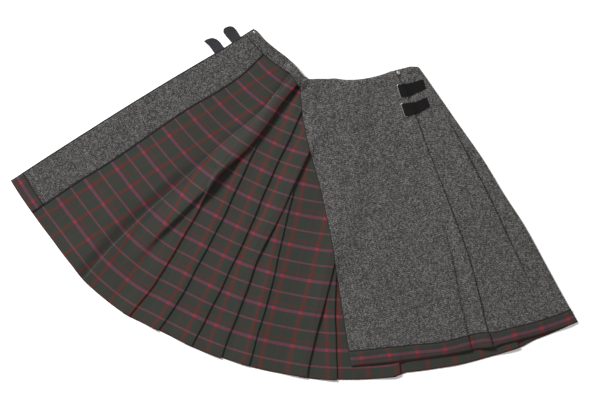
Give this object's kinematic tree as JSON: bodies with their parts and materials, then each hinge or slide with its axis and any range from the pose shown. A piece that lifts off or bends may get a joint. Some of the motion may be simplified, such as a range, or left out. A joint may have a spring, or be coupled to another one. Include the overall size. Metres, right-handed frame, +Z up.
{
  "type": "pleated wrap skirt",
  "caption": "Pleated wrap skirt laid flat, lining up at the back pleats and folded over at one side, with leather straps and buckle tabs.",
  "frame": {"origin": "middle of the underside's bounding box, on the surface that the skirt lies on", "axes": "+X along the length from the under apron's hem corner to the side fold's hem corner, +Y towards the waist, +Z up out of the surface"},
  "size_m": [1.19, 0.7397, 0.0192],
  "materials": {
    "tweed": "woven, matt",
    "tartan": "woven, matt",
    "leather": "smooth, half matt",
    "steel": "polished wire and pressed stud"
  },
  "bodies": {
    "root": {"under_apron_shell": "tweed", "under_apron_lining": "tartan", "back_pleats_shell": "tweed", "back_pleats_lining": "tartan", "over_apron": "tweed", "side_pleats": "tweed", "apron_facing": "tweed", "facing_turn_up": "tartan", "waistband_inner": "tweed", "hem_band_apron": "tartan", "hem_band_side": "tartan", "strap_end_upper": "leather", "strap_end_lower": "leather", "buckle_tab_upper": "leather", "buckle_tab_lower": "leather", "buckle_bar_upper": "steel", "buckle_bar_lower": "steel", "press_stud": "steel", "press_stud_mate": "steel"}
  },
  "joints": []
}
